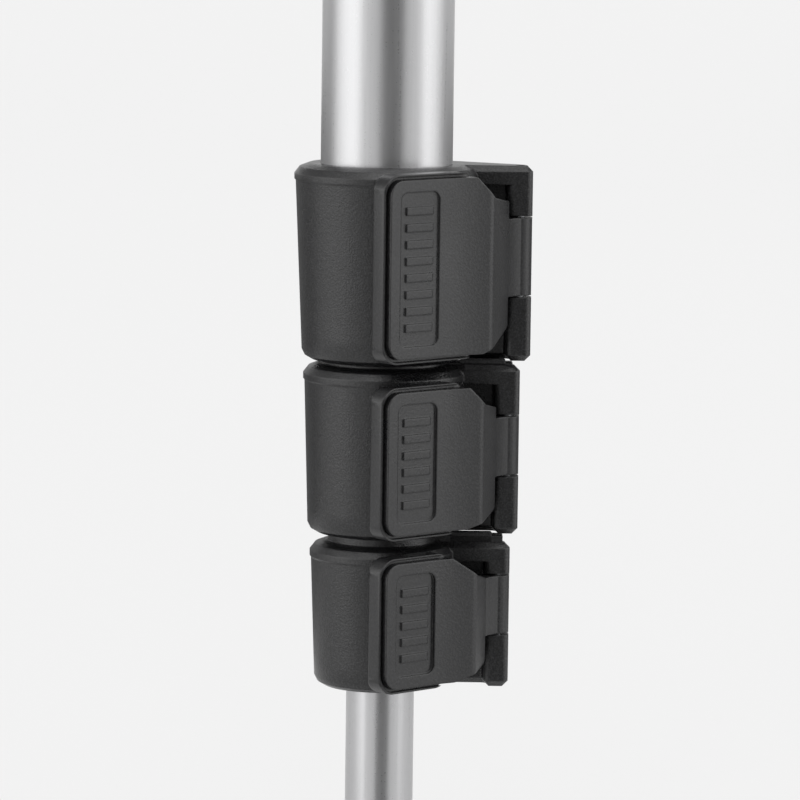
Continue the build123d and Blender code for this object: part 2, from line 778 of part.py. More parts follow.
def platform():
    """The camera platform: it flips up on its left edge, and two rails hold the quick plate."""
    half_width, half_depth = table_width / 2, table_depth / 2
    top = platform_start + platform_thickness
    plate = block((-half_width, half_width), (-half_depth, half_depth), (platform_start, top))
    body = fillet(plate.edges().filter_by(Axis.Z), 5.0)
    low = quick_plate_width / 2 + running_gap
    for side in (-1, 1):
        section = Polyline(
            (side * low, top - 1),
            (side * low, top),
            (side * (low - dovetail_lean), top + rail_height),
            (side * (low + rail_width), top + rail_height),
            (side * (low + rail_width), top - 1),
            close=True,
        )
        rail = extrude(Plane.XZ * make_face(section), amount=half_depth - 1.5, both=True)
        body += rail
    flat = flip_lug_width / 2
    ends = [(-flip_axis_offset, y, flip_height) for y in (-flat, flat)]
    lug = rod(*ends, flip_lug_radius)
    lug_top = flip_height + flip_lug_radius
    body += lug + block((-flip_axis_offset, -half_width + 2), (-flat, flat), (flip_height + 0.4, lug_top))
    cut_width = (-flip_axis_offset - 6, -flip_axis_offset + flip_lug_radius + 1)
    for side in (-1, 1):
        low, high = sorted((side * (half_depth + 1), side * flat))
        body -= block(cut_width, (low, high), (platform_start - 1, top + 8))
    body += flip_pin(0)
    x, y, floor = plate_lever_place()
    ear = block((half_width - 2, x), (y - lever_barrel, y + lever_barrel), (platform_start, floor))
    ear += rod((x, y, platform_start), (x, y, floor), lever_barrel)
    return body + ear + rod((x, y, platform_start), (x, y, floor + lever_pin_length), lever_pin_radius)


def flip_pin(clearance):
    """The pin of the side flip, or its hole with a clearance."""
    half = flip_lug_width / 2 + running_gap + flip_lug_thickness
    x = -flip_axis_offset
    return rod((x, -half, flip_height), (x, half, flip_height), flip_pin_radius + clearance)


def plate_lever_place():
    """Where the plate lever turns: its axis, and the top of the ear that it stands on."""
    x = table_width / 2 + lever_barrel + 0.5
    return x, -table_depth / 2 + 8.0, platform_start + 2.5


def quick_plate():
    """The dovetail plate that the camera screws on to."""
    half = quick_plate_width / 2
    top = quick_plate_start + quick_plate_thickness
    section = Polyline(
        (-half, quick_plate_start),
        (half, quick_plate_start),
        (half - dovetail_lean * 1.1, quick_plate_start + rail_height),
        (half - dovetail_lean * 1.1, top),
        (-half + dovetail_lean * 1.1, top),
        (-half + dovetail_lean * 1.1, quick_plate_start + rail_height),
        close=True,
    )
    body = extrude(Plane.XZ * make_face(section), amount=quick_plate_length / 2, both=True)
    body -= rod((0, 0, quick_plate_start - 1), (0, 0, top + 1), screw_radius + pin_clearance)
    seat = quick_plate_start + screw_head_height + running_gap
    return body - rod((0, 0, quick_plate_start - 1), (0, 0, seat), screw_head_radius + running_gap)


def camera_screw():
    """The quarter-inch camera screw, its slotted head under the quick plate."""
    plate_top = quick_plate_start + quick_plate_thickness
    head_top = quick_plate_start + screw_head_height
    body = rod((0, 0, quick_plate_start + 0.2), (0, 0, head_top), screw_head_radius)
    body += rod((0, 0, head_top - 1), (0, 0, plate_top + 1), screw_neck_radius)
    thread = rod((0, 0, plate_top), (0, 0, plate_top + screw_length), screw_radius)
    body += chamfer(thread.edges().sort_by(Axis.Z)[-1], 0.5)
    reach = screw_head_radius
    return body - block((-reach, reach), (-0.8, 0.8), (quick_plate_start - 1, quick_plate_start + 1.6))


def plate_lever():
    """The short lever on the platform's side that clamps the quick plate."""
    x, y, floor = plate_lever_place()
    low, high = floor + 0.1, floor + 11.0
    body = fillet(rod((x, y, low), (x, y, high), lever_barrel).edges().sort_by(Axis.Z)[-1], 1.0)
    arm = block((x - 1.2, x + lever_barrel - 0.6), (y, y + 28.0), (low + 2.5, high - 1.5))
    body += fillet(arm.edges().filter_by(Axis.X), 1.8)
    hole_top = floor + lever_pin_length + 0.3
    return body - rod((x, y, low - 1), (x, y, hole_top), lever_pin_radius + pin_clearance)


def handle_rod():
    """The pan handle's steel rod, screwed into its socket."""
    return rod(handle_point(handle_socket_end - 15.5), handle_point(handle_length - 6), handle_radius)


def handle_grip():
    """The rubber grip on the end of the rod."""
    end = handle_length
    profile = [
        (0, 0),
        (grip_radius - 3, 0),
        (grip_radius - 1, 2),
        (grip_radius - 1.5, grip_length * 0.35),
        (grip_radius, grip_length - 12),
        (grip_radius - 0.6, grip_length - 4),
        (grip_radius - 4, grip_length),
        (0, grip_length),
    ]
    grip = turned(profile)
    frame = Plane(origin=handle_point(end - grip_length), z_dir=handle_direction)
    bore = rod(handle_point(end - grip_length - 1), handle_point(end - 6), handle_radius)
    return frame * grip - bore


# Every piece under its node's name

pieces = {
    "crown": crown(),
    "leg_pivot_bolts": pivot_bolts(),
    "column_lock_knob": column_knob(),
    "column_tube": column(),
    "column_hook": column_hook(),
    "pan_base": pan_base(),
    "pan_body": pan_body(),
    "pan_lock_knob": pan_knob(),
    "tilt_body": tilt_body(),
    "platform": platform(),
    "plate_lever": plate_lever(),
    "quick_plate": quick_plate(),
    "camera_screw": camera_screw(),
    "handle_rod": handle_rod(),
    "handle_grip": handle_grip(),
}
leg_pieces = {"yoke": yoke(), "foot": foot()}
for n in range(4):
    leg_pieces[f"tube_{n + 1}"] = tube(n)
for n in range(3):
    leg_pieces[f"collar_{n + 1}"] = collar(n)
    leg_pieces[f"lever_{n + 1}"] = lever(n)
    leg_pieces[f"lock_fittings_{n + 1}"] = lock_fittings(n)
for leg in leg_azimuths:
    for name, shape in leg_pieces.items():
        pieces[f"leg_{leg}_{name}"] = place_leg(leg, shape)

os.makedirs("parts", exist_ok=True)
for name, shape in pieces.items():
    solids = shape.solids()
    export_step(solids[0] if len(solids) == 1 else Compound(solids), f"parts/{name}.step")
print(len(pieces), "pieces, pivot height", round(pivot_height, 2), "mm")
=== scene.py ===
import json
from math import cos, pi, radians, sin

import bmesh
import bpy
from mathutils import Matrix, Vector


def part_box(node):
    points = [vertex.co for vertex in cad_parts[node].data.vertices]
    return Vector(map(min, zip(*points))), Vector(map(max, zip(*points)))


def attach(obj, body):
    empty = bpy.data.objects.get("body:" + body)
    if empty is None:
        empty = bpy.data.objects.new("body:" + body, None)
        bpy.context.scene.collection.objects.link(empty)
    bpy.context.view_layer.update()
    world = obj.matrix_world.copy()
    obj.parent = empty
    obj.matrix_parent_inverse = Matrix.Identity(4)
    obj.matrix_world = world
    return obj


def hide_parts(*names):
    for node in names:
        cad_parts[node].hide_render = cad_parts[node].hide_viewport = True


# Camera tripod, seen close up at the flip locks of its front leg. Metres, +Z up, origin on the floor.

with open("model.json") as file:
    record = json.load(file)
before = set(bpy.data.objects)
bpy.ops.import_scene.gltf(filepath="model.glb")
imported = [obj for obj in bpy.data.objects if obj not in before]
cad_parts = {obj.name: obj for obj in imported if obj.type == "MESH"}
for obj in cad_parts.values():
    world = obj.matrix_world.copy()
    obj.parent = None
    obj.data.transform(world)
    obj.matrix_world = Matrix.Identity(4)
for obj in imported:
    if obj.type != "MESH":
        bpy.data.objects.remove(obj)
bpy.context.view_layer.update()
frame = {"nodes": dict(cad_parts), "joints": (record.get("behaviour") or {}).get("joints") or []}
nodes = frame["nodes"]
joints = {joint["name"]: joint for joint in frame["joints"]}
mm = 0.001
legNames = ("a", "b", "c")
print("frame loaded:", len(nodes), "nodes")


def colour(hexText):
    # sRGB hex to the linear colour that Blender takes
    channels = [int(hexText[i : i + 2], 16) / 255 for i in (0, 2, 4)]
    return [c / 12.92 if c <= 0.04045 else ((c + 0.055) / 1.055) ** 2.4 for c in channels] + [1.0]


def addNode(tree, kind, inputs=None, **settings):
    # a node with its settings; an input is a value, or a socket to link from
    node = tree.nodes.new(kind)
    for key, value in settings.items():
        setattr(node, key, value)
    for key, value in (inputs or {}).items():
        if isinstance(value, bpy.types.NodeSocket):
            tree.links.new(value, node.inputs[key])
        else:
            node.inputs[key].default_value = value
    return node


def newMaterial(name):
    material = bpy.data.materials.new(name)
    material.use_nodes = True
    tree = material.node_tree
    return material, tree, tree.nodes["Principled BSDF"]


# Materials

noiseLow, noiseHigh = 0.3, 0.7  # nearly all of a noise texture lies between these


def mouldedNylon(name, look):
    # glass-filled nylon from a spark-eroded mould: a matt grain that breaks up a broad, weak highlight
    material, tree, shader = newMaterial(name)
    place = addNode(tree, "ShaderNodeTexCoord").outputs["Object"]
    grain = addNode(tree, "ShaderNodeTexNoise", {"Vector": place, "Scale": 1 / look["grain"], "Detail": 2.0})
    flow = addNode(tree, "ShaderNodeTexNoise", {"Vector": place, "Scale": 1 / look["flow"], "Detail": 2.0})
    speckle = addNode(
        tree,
        "ShaderNodeMapRange",
        {"Value": grain.outputs["Fac"], "From Min": look["speckle"][0], "From Max": look["speckle"][1]},
    )
    tint = addNode(
        tree,
        "ShaderNodeMix",
        {"Factor": speckle.outputs["Result"], 6: colour(look["dark"]), 7: colour(look["light"])},
        data_type="RGBA",
    )
    gloss = addNode(
        tree,
        "ShaderNodeMapRange",
        {
            "Value": flow.outputs["Fac"],
            "From Min": noiseLow,
            "From Max": noiseHigh,
            "To Min": look["roughness"] - look["uneven"],
            "To Max": look["roughness"] + look["uneven"],
        },
    )
    corners = addNode(tree, "ShaderNodeBevel", {"Radius": look["edge"]}, samples=6)
    bump = addNode(
        tree,
        "ShaderNodeBump",
        {
            "Strength": look["strength"],
            "Distance": look["height"],
            "Height": grain.outputs["Fac"],
            "Normal": corners.outputs["Normal"],
        },
    )
    tree.links.new(tint.outputs[2], shader.inputs["Base Color"])
    tree.links.new(gloss.outputs["Result"], shader.inputs["Roughness"])
    tree.links.new(bump.outputs["Normal"], shader.inputs["Normal"])
    shader.inputs["IOR"].default_value = 1.53
    shader.inputs["Specular IOR Level"].default_value = look["shine"]
    return material


# Collars and yokes. The real grain, about 0.15 mm, is drawn coarser here, so that it shows
collarLook = {
    "dark": "0E0E0F",
    "light": "303031",
    "speckle": (0.4, 0.72),
    "grain": 0.32 * mm,
    "flow": 14 * mm,
    "height": 0.08 * mm,
    "strength": 1.0,
    "roughness": 0.3,
    "uneven": 0.05,
    "shine": 0.52,
    "edge": 0.4 * mm,
}
# Levers and knobs: ABS from a finer mould, smoother and more even in tone
leverLook = dict(collarLook, dark="161617", light="29292A", grain=0.4 * mm, height=0.035 * mm, shine=0.5)
# Crown and head: die-cast alloy under matt black paint, with a broader, duller grain
headLook = dict(collarLook, grain=0.6 * mm, roughness=0.36, edge=0.5 * mm)


def anodisedAluminium(name, look):
    # etched and anodised tube: silver, satin, with a fine frosted grain and faint drawing lines along it
    material, tree, shader = newMaterial(name)
    along = addNode(tree, "ShaderNodeUVMap", uv_map="Drawn").outputs["UV"]
    place = addNode(tree, "ShaderNodeTexCoord").outputs["Object"]
    stretch = addNode(tree, "ShaderNodeMapping", {"Vector": along, "Scale": (1, look["stretch"], 1)})
    lines = addNode(
        tree,
        "ShaderNodeTexNoise",
        {"Vector": stretch.outputs["Vector"], "Scale": 1 / look["line"], "Detail": 2.0},
    )
    frost = addNode(tree, "ShaderNodeTexNoise", {"Vector": place, "Scale": 1 / look["grain"], "Detail": 2.0})
    both = addNode(
        tree, "ShaderNodeMath", {0: lines.outputs["Fac"], 1: frost.outputs["Fac"]}, operation="ADD"
    )
    gloss = addNode(
        tree,
        "ShaderNodeMapRange",
        {
            "Value": both.outputs["Value"],
            "From Min": look["frosting"][0],
            "From Max": look["frosting"][1],
            "To Min": look["roughness"] - look["uneven"],
            "To Max": look["roughness"] + look["uneven"],
        },
    )
    tint = addNode(
        tree,
        "ShaderNodeMix",
        {"Factor": lines.outputs["Fac"], 6: colour(look["dark"]), 7: colour(look["light"])},
        data_type="RGBA",
    )
    bump = addNode(
        tree,
        "ShaderNodeBump",
        {"Strength": look["strength"], "Distance": look["height"], "Height": both.outputs["Value"]},
    )
    tree.links.new(tint.outputs[2], shader.inputs["Base Color"])
    tree.links.new(gloss.outputs["Result"], shader.inputs["Roughness"])
    tree.links.new(bump.outputs["Normal"], shader.inputs["Normal"])
    shader.inputs["Metallic"].default_value = 1.0
    return material


# The real frosting, a few hundredths of a millimetre, is drawn coarser here, so that it shows
tubeLook = {
    "dark": "B9B9BA",
    "light": "C3C3C4",
    "frosting": (0.7, 1.3),
    "grain": 0.35 * mm,
    "line": 0.5 * mm,
    "stretch": 0.02,
    "height": 0.004 * mm,
    "strength": 0.6,
    "roughness": 0.3,
    "uneven": 0.03,
}


def zincPlatedSteel(name, look):
    # turned steel with a thin zinc plate: bright grey, with a slight cloudiness
    material, tree, shader = newMaterial(name)
    place = addNode(tree, "ShaderNodeTexCoord").outputs["Object"]
    cloud = addNode(tree, "ShaderNodeTexNoise", {"Vector": place, "Scale": 1 / look["cloud"], "Detail": 4.0})
    gloss = addNode(
        tree,
        "ShaderNodeMapRange",
        {"Value": cloud.outputs["Fac"], "To Min": look["smooth"], "To Max": look["rough"]},
    )
    tint = addNode(
        tree,
        "ShaderNodeMix",
        {"Factor": cloud.outputs["Fac"], 6: colour(look["dark"]), 7: colour(look["light"])},
        data_type="RGBA",
    )
    corners = addNode(tree, "ShaderNodeBevel", {"Radius": look["edge"]}, samples=4)
    tree.links.new(tint.outputs[2], shader.inputs["Base Color"])
    tree.links.new(gloss.outputs["Result"], shader.inputs["Roughness"])
    tree.links.new(corners.outputs["Normal"], shader.inputs["Normal"])
    shader.inputs["Metallic"].default_value = 1.0
    return material


steelLook = {
    "dark": "8F9092",
    "light": "A9AAAC",
    "cloud": 3 * mm,
    "smooth": 0.22,
    "rough": 0.42,
    "edge": 0.2 * mm,
}


def mouldedRubber(name, look):
    # vulcanised rubber: near black, matt, with a little pale bloom
    material, tree, shader = newMaterial(name)
    place = addNode(tree, "ShaderNodeTexCoord").outputs["Object"]
    bloom = addNode(tree, "ShaderNodeTexNoise", {"Vector": place, "Scale": 1 / look["bloom"], "Detail": 5.0})
    pores = addNode(tree, "ShaderNodeTexNoise", {"Vector": place, "Scale": 1 / look["pore"], "Detail": 2.0})
    tint = addNode(
        tree,
        "ShaderNodeMix",
        {"Factor": bloom.outputs["Fac"], 6: colour(look["dark"]), 7: colour(look["light"])},
        data_type="RGBA",
    )
    gloss = addNode(
        tree,
        "ShaderNodeMapRange",
        {"Value": bloom.outputs["Fac"], "To Min": look["smooth"], "To Max": look["rough"]},
    )
    bump = addNode(
        tree,
        "ShaderNodeBump",
        {"Strength": look["strength"], "Distance": look["height"], "Height": pores.outputs["Fac"]},
    )
    tree.links.new(tint.outputs[2], shader.inputs["Base Color"])
    tree.links.new(gloss.outputs["Result"], shader.inputs["Roughness"])
    tree.links.new(bump.outputs["Normal"], shader.inputs["Normal"])
    shader.inputs["IOR"].default_value = 1.52
    return material


rubberLook = {
    "dark": "1B1B1B",
    "light": "2A2A29",
    "bloom": 9 * mm,
    "pore": 0.4 * mm,
    "height": 0.04 * mm,
    "strength": 0.7,
    "smooth": 0.62,
    "rough": 0.85,
}


def printedInk(name, look):
    # pad-printed ink on the pan scale: flat, slightly uneven white
    material, tree, shader = newMaterial(name)
    place = addNode(tree, "ShaderNodeTexCoord").outputs["Object"]
    wear = addNode(tree, "ShaderNodeTexNoise", {"Vector": place, "Scale": 1 / look["wear"], "Detail": 3.0})
    tint = addNode(
        tree,
        "ShaderNodeMix",
        {"Factor": wear.outputs["Fac"], 6: colour(look["dark"]), 7: colour(look["light"])},
        data_type="RGBA",
    )
    tree.links.new(tint.outputs[2], shader.inputs["Base Color"])
    shader.inputs["Roughness"].default_value = look["roughness"]
    return material


inkLook = {"dark": "B9B9B4", "light": "E6E6E0", "wear": 0.6 * mm, "roughness": 0.6}

finishes = {
    "collar": mouldedNylon("mouldedNylon", collarLook),
    "lever": mouldedNylon("mouldedAbs", leverLook),
    "head": mouldedNylon("paintedCasting", headLook),
    "tube": anodisedAluminium("anodisedAluminium", tubeLook),
    "steel": zincPlatedSteel("zincPlatedSteel", steelLook),
    "rubber": mouldedRubber("mouldedRubber", rubberLook),
    "ink": printedInk("printedInk", inkLook),
}
print("materials made:", len(finishes))


# Nodes of the CAD model: their facets are welded and smoothed, and each gets its material

weldReach, sharpCorner = 0.001 * mm, radians(28)


def weldTree():
    tree = bpy.data.node_groups.new("weldAndSmooth", "GeometryNodeTree")
    tree.interface.new_socket("Geometry", in_out="INPUT", socket_type="NodeSocketGeometry")
    for name, value in (("Weld", weldReach), ("Corner", sharpCorner)):
        socket = tree.interface.new_socket(name, in_out="INPUT", socket_type="NodeSocketFloat")
        socket.default_value = value
    tree.interface.new_socket("Geometry", in_out="OUTPUT", socket_type="NodeSocketGeometry")
    given = tree.nodes.new("NodeGroupInput").outputs
    weld = addNode(
        tree, "GeometryNodeMergeByDistance", {"Geometry": given["Geometry"], "Distance": given["Weld"]}
    )
    soft = addNode(tree, "GeometryNodeSetShadeSmooth", {"Geometry": weld.outputs["Geometry"]}, domain="FACE")
    bend = addNode(tree, "GeometryNodeInputMeshEdgeAngle").outputs["Unsigned Angle"]
    sharp = addNode(tree, "FunctionNodeCompare", {0: bend, 1: given["Corner"]}, operation="GREATER_THAN")
    hard = addNode(
        tree,
        "GeometryNodeSetShadeSmooth",
        {"Geometry": soft.outputs["Geometry"], "Selection": sharp.outputs["Result"], "Shade Smooth": False},
        domain="EDGE",
    )
    result = tree.nodes.new("NodeGroupOutput")
    tree.links.new(hard.outputs["Geometry"], result.inputs["Geometry"])
    return tree


nodeFinish = {
    "crown": "head",
    "leg_pivot_bolts": "steel",
    "column_lock_knob": "lever",
    "column_hook": "collar",
    "pan_base": "head",
    "pan_body": "head",
    "pan_lock_knob": "lever",
    "tilt_body": "head",
    "platform": "head",
    "plate_lever": "lever",
    "quick_plate": "head",
    "camera_screw": "steel",
    "handle_rod": "steel",
    "handle_grip": "rubber",
    "yoke": "collar",
    "collar": "collar",
    "lever": "lever",
    "lock_fittings": "steel",
    "foot": "rubber",
}
smoothing = weldTree()
for name, node in nodes.items():
    kind = name[6:].rstrip("_123") if name.startswith("leg_") and name[5] == "_" else name
    if kind in nodeFinish:
        node.data.materials.clear()
        node.data.materials.append(finishes[nodeFinish[kind]])
        node.modifiers.new("Smooth", "NODES").node_group = smoothing
print("CAD nodes finished")


# Places: a leg's own frame has X to the right, Y towards the column and Z up the leg, from its pivot


def legPlace(leg):
    pivot = Vector(joints[f"leg_{leg}_spread"]["pos_m"])
    right = -Vector(joints[f"leg_{leg}_spread"]["axis"]).normalized()
    up = -Vector(joints[f"leg_{leg}_slide_1"]["axis"]).normalized()
    inward = up.cross(right)
    return Matrix.Translation(pivot) @ Matrix((right, inward, up)).transposed().to_4x4()


def newPiece(name, mesh, place, body, finish=None):
    # the mesh, moved to its place, as an object that rides on a body
    mesh.transform(place)
    piece = bpy.data.objects.new(name, mesh)
    bpy.context.scene.collection.objects.link(piece)
    if finish:
        mesh.materials.append(finish)
    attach(piece, body)
    return piece


turnedCorner = radians(30)


def turnedMesh(name, rings, sides):
    # each ring is a closed outline of (radius, height), turned about Z, with a UV map in real sizes
    shape = bmesh.new()
    drawn = shape.loops.layers.uv.new("Drawn")
    for index, outline in enumerate(rings):
        circles = []
        for r, z in outline:
            angles = [2 * pi * k / sides for k in range(sides)]
            circles.append([shape.verts.new((r * cos(angle), r * sin(angle), z)) for angle in angles])
        girth = 2 * pi * max(r for r, z in outline)
        for i, circle in enumerate(circles):
            following = circles[(i + 1) % len(circles)]
            for k in range(sides):
                beside = (k + 1) % sides
                face = shape.faces.new((circle[k], circle[beside], following[beside], following[k]))
                face.smooth = True
                face.material_index = index
                heights = (circle[k].co.z, circle[k].co.z, following[k].co.z, following[k].co.z)
                for loop, turn, height in zip(face.loops, (k, k + 1, k + 1, k), heights):
                    loop[drawn].uv = (girth * turn / sides, height)
    bmesh.ops.recalc_face_normals(shape, faces=shape.faces)
    mesh = bpy.data.meshes.new(name)
    shape.to_mesh(mesh)
    shape.free()
    mesh.set_sharp_from_angle(angle=turnedCorner)
    return mesh


def wall(outer, inner, top, bottom, chamfer):
    # the cut-through outline of a tube, its edges broken
    return [
        (outer - chamfer, top),
        (inner, top),
        (inner, bottom),
        (outer - chamfer, bottom),
        (outer, bottom + chamfer),
        (outer, top - chamfer),
    ]


# Tubes, drawn smooth in place of the CAD model's facets

tubes = {
    "diameters": (25.0, 21.0, 17.0, 13.0),
    "starts": (15.0, 34.0, 35.5, 42.5),
    "ends": (392.0, 427.95, 459.45, 516.75),
    "wall": 1.2,
    "edge": 0.25,
    "guide": 20.0,
    "guideClearance": 0.1,
    "guideEdge": 0.4,
    "sides": 96,
}
tubeBodies = ("upper", "second", "third", "bottom")
for leg in legNames:
    for n, body in enumerate(tubeBodies):
        outer = tubes["diameters"][n] / 2
        top, bottom = -tubes["starts"][n], -tubes["ends"][n]
        rings = [wall(outer, outer - tubes["wall"], top, bottom, tubes["edge"])]
        if n:
            guideRadius = tubes["diameters"][n - 1] / 2 - tubes["wall"] - tubes["guideClearance"]
            rings.append(wall(guideRadius, outer, top, top - tubes["guide"], tubes["guideEdge"]))
        rings = [[(r * mm, z * mm) for r, z in ring] for ring in rings]
        name = f"leg_{leg}_tube_{n + 1}_drawn"
        mesh = turnedMesh(name, rings, tubes["sides"])
        piece = newPiece(name, mesh, legPlace(leg), f"leg_{leg}_{body}", finishes["tube"])
        mesh.materials.append(finishes["collar"])
        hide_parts(f"leg_{leg}_tube_{n + 1}")

columnTube = {"outer": 12.5, "inner": 10.5}
low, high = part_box("column_tube")
outline = wall(columnTube["outer"], columnTube["inner"], high.z / mm, low.z / mm, tubes["edge"])
mesh = turnedMesh("column_tube_drawn", [[(r * mm, z) for r, z in outline]], tubes["sides"])
mesh.transform(Matrix.Diagonal((1, 1, mm, 1)))
piece = newPiece("column_tube_drawn", mesh, Matrix(), "column", finishes["tube"])
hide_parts("column_tube")
print("tubes drawn")


# Repeated detail: copies of one small shape along a line, about an axis, or both


def copiesTree():
    tree = bpy.data.node_groups.new("copies", "GeometryNodeTree")
    for name, kind in (
        ("Geometry", "NodeSocketGeometry"),
        ("Count", "NodeSocketInt"),
        ("Pitch", "NodeSocketVector"),
        ("Turn", "NodeSocketFloat"),
        ("Growth", "NodeSocketFloat"),
        ("Finish", "NodeSocketMaterial"),
    ):
        tree.interface.new_socket(name, in_out="INPUT", socket_type=kind)
    tree.interface.new_socket("Geometry", in_out="OUTPUT", socket_type="NodeSocketGeometry")
    given = tree.nodes.new("NodeGroupInput").outputs
    line = addNode(
        tree, "GeometryNodeMeshLine", {"Count": given["Count"], "Offset": given["Pitch"]}, mode="OFFSET"
    )
    index = addNode(tree, "GeometryNodeInputIndex").outputs["Index"]
    angle = addNode(tree, "ShaderNodeMath", {0: index, 1: given["Turn"]}, operation="MULTIPLY")
    spin = addNode(tree, "ShaderNodeCombineXYZ", {"Z": angle.outputs["Value"]})
    width = addNode(
        tree, "ShaderNodeMath", {0: index, 1: given["Growth"], 2: 1.0}, operation="MULTIPLY_ADD"
    ).outputs["Value"]
    size = addNode(tree, "ShaderNodeCombineXYZ", {"X": width, "Y": width, "Z": 1.0})
    copies = addNode(
        tree,
        "GeometryNodeInstanceOnPoints",
        {
            "Points": line.outputs["Mesh"],
            "Instance": given["Geometry"],
            "Rotation": spin.outputs["Vector"],
            "Scale": size.outputs["Vector"],
        },
    )
    real = addNode(tree, "GeometryNodeRealizeInstances", {"Geometry": copies.outputs["Instances"]})
    painted = addNode(
        tree,
        "GeometryNodeSetMaterial",
        {"Geometry": real.outputs["Geometry"], "Material": given["Finish"]},
    )
    result = tree.nodes.new("NodeGroupOutput")
    tree.links.new(painted.outputs["Geometry"], result.inputs["Geometry"])
    return tree


copies = copiesTree()


def repeated(name, template, finish, count, pitch=(0, 0, 0), turn=0.0, growth=0.0):
    # the copies of a template mesh, as one plain mesh
    holder = bpy.data.objects.new(name + "Template", template)
    bpy.context.scene.collection.objects.link(holder)
    modifier = holder.modifiers.new("Copies", "NODES")
    modifier.node_group = copies
    chosen = {"Count": count, "Pitch": pitch, "Turn": turn, "Growth": growth, "Finish": finish}
    for item in copies.interface.items_tree:
        if item.in_out == "INPUT" and item.name in chosen:
            modifier[item.identifier] = chosen[item.name]
    bpy.context.view_layer.update()
    evaluated = holder.evaluated_get(bpy.context.evaluated_depsgraph_get())
    mesh = bpy.data.meshes.new_from_object(evaluated)
    mesh.name = name
    bpy.data.objects.remove(holder)
    return mesh


def axisPlace(jointName, distance=0.0):
    # Z along the joint's axis, from a point on it
    joint = joints[jointName]
    axis = Vector(joint["axis"]).normalized()
    start = Vector(joint["pos_m"]) + axis * distance
    return Matrix.Translation(start) @ axis.to_track_quat("Z", "Y").to_matrix().to_4x4()


def band(ring):
    # a ring's outline with broken edges, its middle at height 0
    outer, inner, edge, half = ring["radius"], ring["inner"], ring["edge"], ring["height"] / 2
    outline = [
        (inner, half),
        (inner, -half),
        (outer - edge, -half),
        (outer, -half + edge),
        (outer, half - edge),
        (outer - edge, half),
    ]
    return [[(r * mm, z * mm) for r, z in outline]]


def bar(length, width, height, edge):
    # a strip along X that stands on Z = 0, with broken top edges
    shape = bmesh.new()
    x, y = length / 2, width / 2
    rows = [(0, x, y), (height - edge, x, y), (height, x - edge, y - edge)]
    loops = []
    for z, across, deep in rows:
        corners = ((-across, -deep), (across, -deep), (across, deep), (-across, deep))
        loops.append([shape.verts.new((px * mm, py * mm, z * mm)) for px, py in corners])
    for below, above in zip(loops, loops[1:]):
        for k in range(4):
            shape.faces.new((below[k], below[(k + 1) % 4], above[(k + 1) % 4], above[k]))
    shape.faces.new(loops[-1])
    shape.faces.new(reversed(loops[0]))
    mesh = bpy.data.meshes.new("bar")
    shape.to_mesh(mesh)
    shape.free()
    return mesh


# Rings moulded round the pan handle's grip, widening with it

ringSides = 64  # of every ring
gripRings = {
    "from": 151.0,
    "count": 12,
    "pitch": 3.8,
    "radius": 10.15,
    "inner": 9.0,
    "height": 2.0,
    "edge": 0.5,
    "growth": 0.0118,
}
ring = turnedMesh("gripRing", band(gripRings), ringSides)
mesh = repeated(
    "gripRings",
    ring,
    finishes["rubber"],
    gripRings["count"],
    pitch=(0, 0, gripRings["pitch"] * mm),
    growth=gripRings["growth"],
)
newPiece("gripRings", mesh, axisPlace("handle_twist", gripRings["from"] * mm), "handle")

# Rings round each foot's neck and ribs round each yoke

footRings = {
    "down": 511.0,
    "count": 3,
    "pitch": 1.9,
    "radius": 8.35,
    "inner": 7.0,
    "height": 1.0,
    "edge": 0.3,
}
yokeRings = {
    "down": 43.0,
    "count": 3,
    "pitch": 3.2,
    "radius": 14.85,
    "inner": 13.6,
    "height": 1.6,
    "edge": 0.3,
}
for leg in legNames:
    for name, rings, body, finish in (
        ("footRings", footRings, "bottom", "rubber"),
        ("yokeRings", yokeRings, "upper", "collar"),
    ):
        ring = turnedMesh(name, band(rings), ringSides)
        mesh = repeated(
            f"leg_{leg}_{name}", ring, finishes[finish], rings["count"], pitch=(0, 0, -rings["pitch"] * mm)
        )
        place = legPlace(leg) @ Matrix.Translation((0, 0, -rings["down"] * mm))
        newPiece(f"leg_{leg}_{name}", mesh, place, f"leg_{leg}_{body}")

# The seat on top of a lower collar's hinge boss, which the collar above all but touches, and the lip along
# the seat's front, which rises between that collar's ears

bossSeats = {
    "bossSeat_2": {"tube": 2, "down": 414.95, "rise": 0.55, "x": (10.0, 24.4), "y": (-1.8, 1.5)},
    "bossSeat_3": {"tube": 3, "down": 448.95, "rise": 1.4, "x": (8.5, 23.0), "y": (-1.8, 1.5)},
    "bossLip_2": {"tube": 2, "down": 414.95, "rise": 1.2, "x": (14.4, 23.0), "y": (-1.8, -0.7)},
    "bossLip_3": {"tube": 3, "down": 448.95, "rise": 2.05, "x": (13.0, 20.9), "y": (-1.8, -0.7)},
}
seatSunk, seatEdge = 0.2, 0.25
for leg in legNames:
    for name, seat in bossSeats.items():
        sizes = [seat[side][1] - seat[side][0] for side in "xy"]
        mesh = bar(*sizes, seat["rise"] + seatSunk, seatEdge)
        middle = Vector((sum(seat["x"]) / 2, sum(seat["y"]) / 2, -seat["down"] - seatSunk)) * mm
        place = legPlace(leg) @ Matrix.Translation(middle)
        body = f"leg_{leg}_{tubeBodies[seat['tube'] - 1]}"
        newPiece(f"leg_{leg}_{name}", mesh, place, body, finishes["collar"])

# Rubber ridges on the quick plate, on both sides of the camera screw

